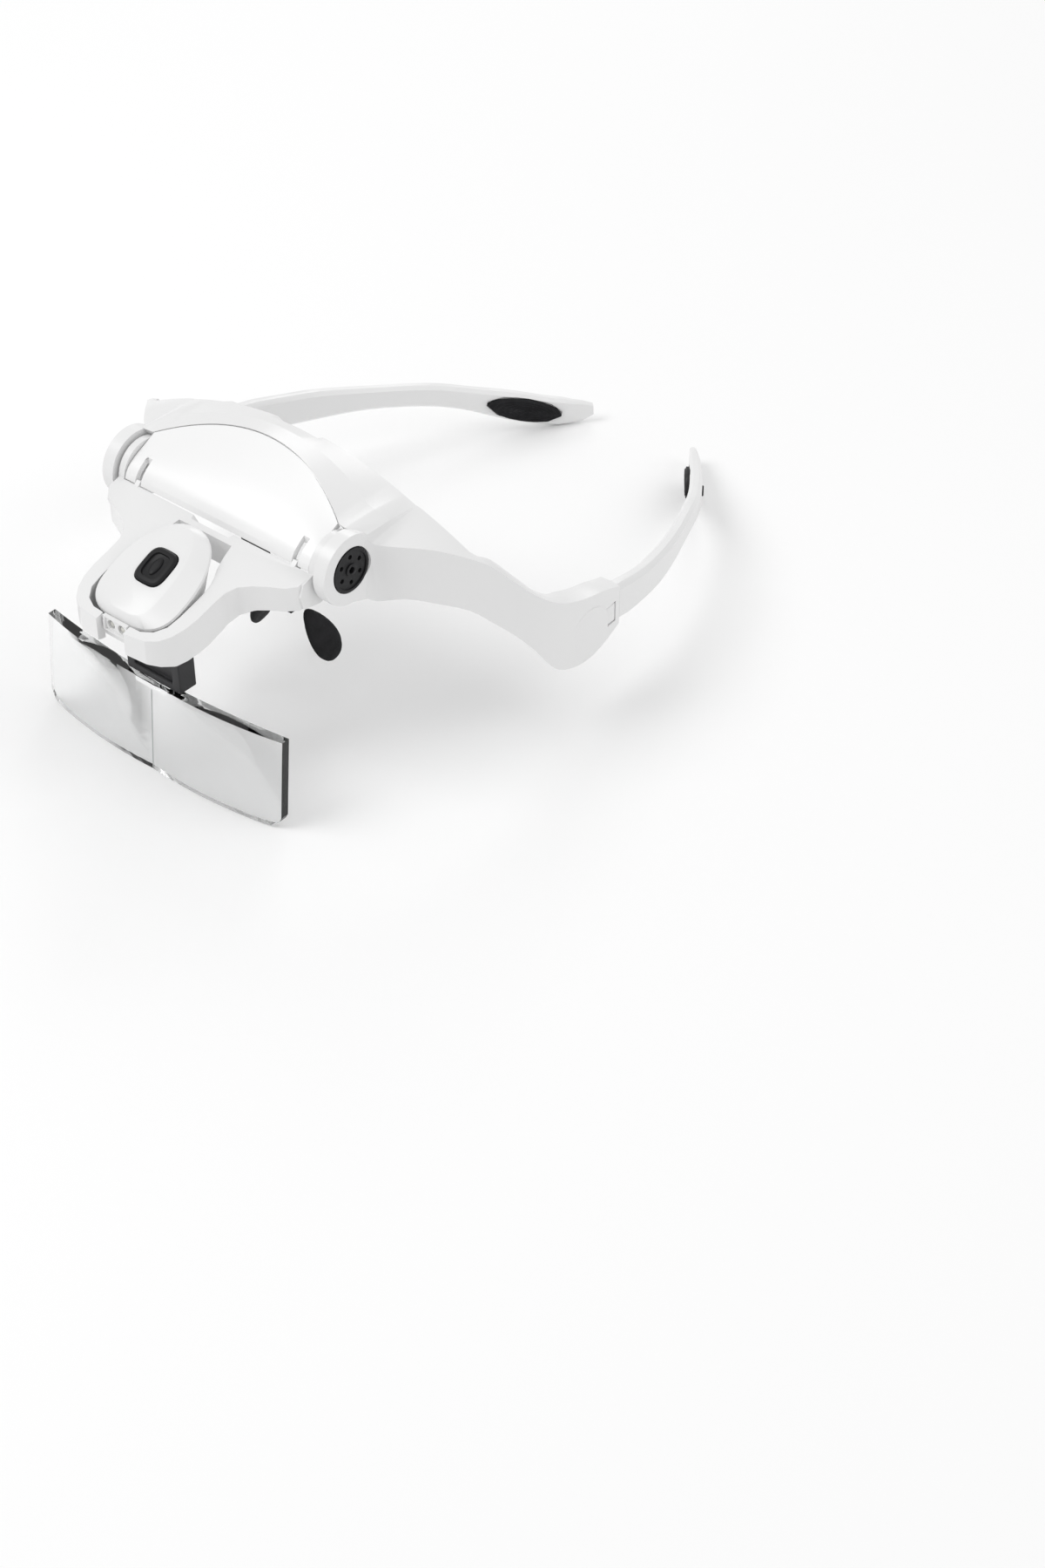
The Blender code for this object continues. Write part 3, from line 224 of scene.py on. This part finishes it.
def clear_acrylic(name):
    """Polished acrylic, with the faintest waviness a cast lens has."""
    finish = Finish(name)
    finish.set(Transmission_Weight=1.0, IOR=1.49)
    finish.colours(finish.noise(14.0, 2.0), (0.985, 0.992, 0.992), (0.995, 0.998, 0.998))
    finish.rough(60.0, 2.0, 0.006, 0.02)
    finish.bump(finish.noise(45.0, 2.0), 0.02, 0.0004)
    return finish.material


def frosted(name):
    """Acrylic left matt by the mould's parting line."""
    finish = Finish(name)
    finish.colours(finish.noise(500.0, 3.0), (0.52, 0.54, 0.54), (0.68, 0.70, 0.70))
    finish.rough(700.0, 3.0, 0.35, 0.5)
    finish.set(Transmission_Weight=0.4, IOR=1.49)
    return finish.material


def turned_steel(name):
    """Plated steel with fine machining marks."""
    finish = Finish(name)
    finish.colours(finish.noise(300.0, 4.0), (0.50, 0.50, 0.51), (0.68, 0.68, 0.69))
    finish.rough(900.0, 3.0, 0.24, 0.38)
    finish.bump(finish.noise(3000.0, 2.0), 0.1, 0.0001)
    finish.set(Metallic=1.0)
    return finish.material


def lamp_epoxy(name):
    """The slightly milky body of a white light."""
    finish = Finish(name)
    finish.colours(finish.noise(400.0, 2.0), (0.80, 0.80, 0.76), (0.96, 0.95, 0.86))
    finish.rough(500.0, 2.0, 0.08, 0.16)
    finish.set(Transmission_Weight=0.35, IOR=1.5, Coat_Weight=0.5)
    return finish.material


def board_lacquer(name):
    """Green lacquer over the board's weave."""
    finish = Finish(name)
    finish.colours(finish.noise(700.0, 4.0), (0.03, 0.17, 0.07), (0.07, 0.27, 0.12))
    finish.rough(600.0, 3.0, 0.35, 0.5)
    return finish.material


# ---------------------------------------------------------------- meshes
def put(name, mesh, material, body, sharp=radians(35)):
    """Link a bmesh as a finished piece that rides on a body."""
    data = bpy.data.meshes.new(name)
    mesh.to_mesh(data)
    mesh.free()
    data.shade_smooth()
    data.set_sharp_from_angle(angle=sharp)
    data.materials.append(material)
    piece = bpy.data.objects.new(name, data)
    bpy.context.scene.collection.objects.link(piece)
    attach(piece, body)
    return piece


def turns(count):
    """Angles that divide a full turn evenly."""
    return [2 * pi * i / count for i in range(count)]


def join_rings(mesh, rings):
    """Fill between neighbouring rings, which all have as many points."""
    count = len(rings[0])
    for near, far in zip(rings, rings[1:]):
        for i in range(count):
            j = (i + 1) % count
            mesh.faces.new((near[i], near[j], far[j], far[i]))


def surface_of(data):
    """A mesh's faces, ready for finding points on them."""
    return BVHTree.FromPolygons([vertex.co for vertex in data.vertices],
                                [face.vertices for face in data.polygons])


def finished(node, material, edge, sharp=CREASED):
    """The node's shape with its points welded and its moulded edges softened."""
    source = frame["nodes"][node]
    mesh = bmesh.new()
    mesh.from_mesh(source.data)
    mesh.transform(source.matrix_world)
    bmesh.ops.remove_doubles(mesh, verts=mesh.verts, dist=WELD)
    bmesh.ops.dissolve_limit(mesh, angle_limit=FLAT, verts=mesh.verts, edges=mesh.edges)
    piece = put(node + "_finished", mesh, material, node_body(node), sharp)
    if edge > 0:
        soften = piece.modifiers.new("soft_edges", "BEVEL")
        soften.width = edge
        soften.segments = SHAPE_STEPS
        soften.limit_method = "ANGLE"
        soften.angle_limit = sharp
        soften.harden_normals = True
    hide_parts(node)
    return piece


def dress(node, material):
    """Give a CAD node its finish and leave its shape alone."""
    data = frame["nodes"][node].data
    data.materials.clear()
    data.materials.append(material)


# ---------------------------------------------------------------- settings
class VISOR_PG_finishes(bpy.types.PropertyGroup):
    """Colours and edge sizes of the visor."""

    shell_colour: FloatVectorProperty(name="Shell", description="White of the frame and arms",
                                      subtype="COLOR", size=3, default=(0.80, 0.80, 0.80))
    # painted light: the face plate is the same white moulding as the shells, given a lighter
    # colour for the light it takes facing forward and up
    plate_colour_painted_light: FloatVectorProperty(name="Face plate", description="White of the face plate",
                                      subtype="COLOR", size=3, default=(0.87, 0.87, 0.87))
    black_colour: FloatVectorProperty(name="Black parts", description="Caps, button and bridge",
                                      subtype="COLOR", size=3, default=(0.012, 0.012, 0.013))
    clip_colour: FloatVectorProperty(name="Clip", description="Dark grey of the lens clip",
                                     subtype="COLOR", size=3, default=(0.030, 0.030, 0.032))
    rubber_colour: FloatVectorProperty(name="Rubber", description="Pads, cushions and plugs",
                                       subtype="COLOR", size=3, default=(0.008, 0.008, 0.009))
    shell_edge: FloatProperty(name="Shell edge", description="Rounding of the shells' edges",
                              unit="LENGTH", default=0.0006, min=0.0)
    small_edge: FloatProperty(name="Small edge", description="Rounding of small parts' edges",
                              unit="LENGTH", default=0.00025, min=0.0)
    rib_count: IntProperty(name="Ribs", description="Raised rings on an arm cushion",
                           default=7, min=0)
    rib_height: FloatProperty(name="Rib height", description="Rise of each ring",
                              unit="LENGTH", default=0.00013, min=0.0)
    cushion_skirt: FloatProperty(name="Cushion skirt", description="How far its edge goes down",
                                 unit="LENGTH", default=0.0009, min=0.0)
    crease_width: FloatProperty(name="Crease width", description="Line down the lens's middle",
                                unit="LENGTH", default=0.00045, min=0.0)
    crease_top: FloatProperty(name="Crease top", description="Where the line stops under the tab",
                              unit="LENGTH", default=0.0060, min=0.0)
    roundel_radius: FloatProperty(name="Roundel", description="Radius of the disc on each wing",
                                  unit="LENGTH", default=0.0085, min=0.0)


class VISOR_PG_stage(bpy.types.PropertyGroup):
    """Floor, light and camera."""

    floor_colour: FloatVectorProperty(name="Floor", description="Pale floor", subtype="COLOR",
                                      size=3, default=(0.94, 0.94, 0.94))
    camera_side: FloatProperty(name="Side", description="Camera's turn about the vertical",
                               subtype="ANGLE", default=radians(40.04))
    camera_height: FloatProperty(name="Height", description="Camera's angle above the floor",
                                 subtype="ANGLE", default=radians(39.53))
    camera_lens: FloatProperty(name="Lens", description="Focal length", unit="CAMERA",
                               default=62.0)
    key_power: FloatProperty(name="Key", description="Power of the large soft light",
                             unit="POWER", default=7.5)
    sky: FloatProperty(name="Room light", description="Strength of the room's even light",
                       default=0.70)


# ---------------------------------------------------------------- operators
class VISOR_OT_shells(bpy.types.Operator):
    """Finish the white mouldings: frame, bracket, lamp, arms and latches."""

    bl_idname = "visor.shells"
    bl_label = "White Shells"

    def execute(self, context):
        looks = context.scene.visor_finishes
        white = moulded("white_moulding", looks.shell_colour, 0.30)
        for node in SHELLS:
            finished(node, white, looks.shell_edge)
        # painted light: a lighter copy of the white moulding on the face plate, standing in for
        # the light that falls on it
        plate = moulded("plate_moulding_painted_light", looks.plate_colour_painted_light, 0.26)
        finished("face_plate", plate, looks.small_edge)
        return {"FINISHED"}


class VISOR_OT_roundels(bpy.types.Operator):
    """Raise the plain disc on the outside of each wing."""

    bl_idname = "visor.roundels"
    bl_label = "Wing Roundels"

    def execute(self, context):
        looks = context.scene.visor_finishes
        white = bpy.data.materials["white_moulding"]
        low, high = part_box("head_frame")
        back, up = ROUNDEL_PLACE
        for side, tag in SIDES:
            face = high[0] if side > 0 else -low[0]
            mesh = bmesh.new()
            rings = []
            for share, rise in ROUNDEL_STEPS:
                ring = []
                for turn in turns(ROUNDEL_POINTS):
                    reach = looks.roundel_radius * share
                    y = HUB.y + back + reach * cos(turn)
                    z = HUB.z + up + reach * sin(turn)
                    sag = ROUNDEL_SAG * (y - HUB.y - ROUNDEL_CREST) ** 2
                    ring.append(mesh.verts.new((side * (face + rise - sag), y, z)))
                rings.append(ring)
            join_rings(mesh, rings)
            mesh.faces.new(rings[0])
            mesh.faces.new(rings[-1])
            bmesh.ops.recalc_face_normals(mesh, faces=mesh.faces)
            piece = put("wing_roundel_" + tag, mesh, white, "frame", radians(30))
        return {"FINISHED"}


class VISOR_OT_black_parts(bpy.types.Operator):
    """Finish the hub caps, button, bridge, clip and the small hidden parts."""

    bl_idname = "visor.black_parts"
    bl_label = "Black Parts"

    def execute(self, context):
        looks = context.scene.visor_finishes
        black = moulded("black_moulding", looks.black_colour, 0.42, 1800.0, 0.0, 0.22)
        for node in HARD_BLACK:
            finished(node, black, looks.small_edge)
        clip = moulded("clip_moulding", looks.clip_colour, 0.44, 1500.0, 0.0, 0.25)
        finished("lens_clip", clip, looks.small_edge * CLIP_EDGE)
        steel = turned_steel("turned_steel")
        for node in METAL:
            dress(node, steel)
        dress("circuit_board", board_lacquer("board_lacquer"))
        epoxy = lamp_epoxy("lamp_epoxy")
        for node in ("led_left", "led_right"):
            dress(node, epoxy)
        return {"FINISHED"}


def fitted_axes(node):
    """A node's middle, its long, wide and thin directions, and its first two half sizes."""
    data = frame["nodes"][node].data
    points = np.array([tuple(vertex.co) for vertex in data.vertices])
    middle = 0.5 * (points.max(axis=0) + points.min(axis=0))
    centre = points.mean(axis=0)
    directions = np.linalg.svd(points - centre, full_matrices=False)[2]
    spans = [(points - middle) @ direction for direction in directions]
    middle = middle + sum(0.5 * (span.max() + span.min()) * direction
                          for span, direction in zip(spans, directions))
    halves = [0.5 * (span.max() - span.min()) for span in spans]
    return Vector(middle), [Vector(direction) for direction in directions], halves[:2]


class VISOR_OT_rubber(bpy.types.Operator):
    """Make the nose pads and the ribbed cushions inside the arms, and finish the plugs."""

    bl_idname = "visor.rubber"
    bl_label = "Rubber Parts"

    def execute(self, context):
        looks = context.scene.visor_finishes
        rubber = soft_rubber("pad_rubber", looks.rubber_colour)
        for tag in ("left", "right"):
            finished("arm_plug_" + tag, rubber, looks.small_edge)
            self.nose_pad("nose_pad_" + tag, rubber)
            self.cushion("arm_cushion_" + tag, rubber, looks)
        return {"FINISHED"}

    def nose_pad(self, node, rubber):
        """A thin leaf, rounded all over."""
        piece = finished(node, rubber, 0.0)
        soften = piece.modifiers.new("soft", "SUBSURF")
        soften.levels = SHAPE_STEPS
        soften.render_levels = SHAPE_STEPS

    def cushion(self, node, rubber, looks):
        """An oval pad whose face carries raised rings, one inside the other."""
        middle, (long_way, wide_way, thin_way), (reach, width) = fitted_axes(node)
        if thin_way.x * middle.x > 0:
            thin_way = -thin_way
        surface = surface_of(frame["nodes"][node].data)
        rings = []
        for k in range(CUSHION_RINGS + 1):
            share = 1.0 - k / CUSHION_RINGS
            rib = looks.rib_height * cos(2 * pi * share * looks.rib_count)
            height = CUSHION_CROWN * (1 - share ** 4) + rib * min(1.0, RIB_FADE * (1 - share))
            ring = []
            for turn in turns(CUSHION_POINTS):
                flat = (middle + long_way * (reach * share * cos(turn))
                        + wide_way * (width * share * sin(turn)))
                hit = surface.ray_cast(flat + thin_way * ABOVE, -thin_way)[0]
                if hit is None:
                    hit = surface.find_nearest(flat)[0]
                ring.append(hit + thin_way * height)
            rings.append(ring)
        skirt = [point - thin_way * looks.cushion_skirt for point in rings[0]]
        mesh = bmesh.new()
        loops = [[mesh.verts.new(point) for point in ring] for ring in [skirt] + rings[:-1]]
        join_rings(mesh, loops)
        peak = mesh.verts.new(rings[-1][0])
        inner = loops[-1]
        for near, far in zip(inner, inner[1:] + inner[:1]):
            mesh.faces.new((near, far, peak))
        mesh.faces.new(loops[0])
        bmesh.ops.recalc_face_normals(mesh, faces=mesh.faces)
        piece = put(node + "_ribbed", mesh, rubber, node_body(node), radians(60))
        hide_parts(node)


class VISOR_OT_lens(bpy.types.Operator):
    """Polish the lens and mark the line where its two bowls meet."""

    bl_idname = "visor.lens"
    bl_label = "Lens"

    def execute(self, context):
        looks = context.scene.visor_finishes
        piece = finished("magnifier_lens", clear_acrylic("clear_acrylic"), 0.0, radians(16))
        self.crease(looks, piece)
        return {"FINISHED"}

    def crease(self, looks, lens):
        """A frosted hairline down the front, where the two bowls meet."""
        surface = surface_of(lens.data)
        low, high = (Vector(corner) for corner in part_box("magnifier_lens"))
        foot = low.z + CREASE_FOOT
        top = high.z - looks.crease_top
        mesh = bmesh.new()
        rows = []
        for k in range(CREASE_STEPS + 1):
            z = foot + (top - foot) * k / CREASE_STEPS
            row = []
            for share, lift in CREASE_ROUND:
                x = looks.crease_width * 0.5 * share
                face = surface.ray_cast(Vector((x, low.y - ABOVE, z)), Vector((0.0, 1.0, 0.0)))[0]
                if face is None:
                    raise RuntimeError("the lens has no front face at its middle")
                row.append(mesh.verts.new((x, face.y - lift, z)))
            rows.append(row)
        for near, far in zip(rows, rows[1:]):
            for i in range(len(near) - 1):
                mesh.faces.new((near[i], near[i + 1], far[i + 1], far[i]))
        bmesh.ops.recalc_face_normals(mesh, faces=mesh.faces)
        line = put("lens_crease", mesh, frosted("frosted_crease"), node_body("magnifier_lens"))
        thicken = line.modifiers.new("thickness", "SOLIDIFY")
        thicken.thickness = CREASE_THICK
        thicken.offset = 0.0


class VISOR_OT_stage(bpy.types.Operator):
    """Lay the floor, and set the lights and the camera."""

    bl_idname = "visor.stage"
    bl_label = "Stage"

    def execute(self, context):
        scene = context.scene
        stage = scene.visor_stage
        self.floor(scene, stage)
        self.light(scene, stage)
        self.camera(scene, stage)
        scene.view_settings.view_transform = "Standard"
        return {"FINISHED"}

    def floor(self, scene, stage):
        """A plain pale floor just under the visor."""
        mesh = bmesh.new()
        bmesh.ops.create_grid(mesh, x_segments=8, y_segments=8, size=FLOOR_REACH)
        data = bpy.data.meshes.new("floor")
        mesh.to_mesh(data)
        mesh.free()
        floor = bpy.data.objects.new("floor", data)
        floor.location.z = CAD_BOX[0][2] - FLOOR_DROP
        scene.collection.objects.link(floor)
        paint = Finish("floor_paint")
        colour = tuple(stage.floor_colour)
        paint.colours(paint.noise(3.0, 2.0), shade(colour, 0.995), shade(colour, 1.005))
        paint.set(Roughness=0.9, Specular_IOR_Level=0.1)
        data.materials.append(paint.material)

    def light(self, scene, stage):
        """An even white room and three large soft discs."""
        world = bpy.data.worlds.new("room")
        world.use_nodes = True
        background = world.node_tree.nodes["Background"]
        background.inputs["Color"].default_value = (1.0, 1.0, 1.0, 1.0)
        background.inputs["Strength"].default_value = stage.sky
        scene.world = world
        middle = 0.5 * (Vector(CAD_BOX[0]) + Vector(CAD_BOX[1]))
        for name, (place, size, share) in LIGHTS.items():
            light = bpy.data.lights.new(name, "AREA")
            light.shape = "DISK"
            light.size = size
            light.energy = stage.key_power * share
            item = bpy.data.objects.new(name, light)
            item.location = middle + Vector(place)
            item.rotation_euler = (-Vector(place)).to_track_quat("-Z", "Y").to_euler()
            scene.collection.objects.link(item)

    def camera(self, scene, stage):
        """The camera, above and in front, on the wearer's left."""
        camera = bpy.data.objects.new("camera", bpy.data.cameras.new("camera"))
        camera.data.lens = stage.camera_lens
        camera.data.sensor_width = SENSOR
        camera.data.clip_start = NEAREST
        camera.location = HUB + Vector(CAMERA_PLACE)
        camera.rotation_euler = (radians(90) - stage.camera_height, 0.0, stage.camera_side)
        scene.collection.objects.link(camera)
        scene.camera = camera


class VISOR_PT_steps(bpy.types.Panel):
    """Lists the steps in the order they are run."""

    bl_label = "Visor"
    bl_idname = "VISOR_PT_steps"
    bl_space_type = "VIEW_3D"
    bl_region_type = "UI"
    bl_category = "Visor"

    def draw(self, context):
        for step in STEPS:
            self.layout.operator(step.bl_idname)
        for group in (context.scene.visor_finishes, context.scene.visor_stage):
            for key in group.__annotations__:
                self.layout.prop(group, key)


STEPS = (VISOR_OT_shells, VISOR_OT_roundels, VISOR_OT_black_parts, VISOR_OT_rubber,
         VISOR_OT_lens, VISOR_OT_stage)
CLASSES = (VISOR_PG_finishes, VISOR_PG_stage) + STEPS + (VISOR_PT_steps,)


def register():
    for cls in CLASSES:
        bpy.utils.register_class(cls)
    bpy.types.Scene.visor_finishes = PointerProperty(type=VISOR_PG_finishes)
    bpy.types.Scene.visor_stage = PointerProperty(type=VISOR_PG_stage)


def unregister():
    del bpy.types.Scene.visor_stage
    del bpy.types.Scene.visor_finishes
    for cls in reversed(CLASSES):
        bpy.utils.unregister_class(cls)


def main():
    """Run every step in order."""
    register()
    for step in STEPS:
        family, name = step.bl_idname.split(".")
        getattr(getattr(bpy.ops, family), name)()


if __name__ == "__main__":
    main()
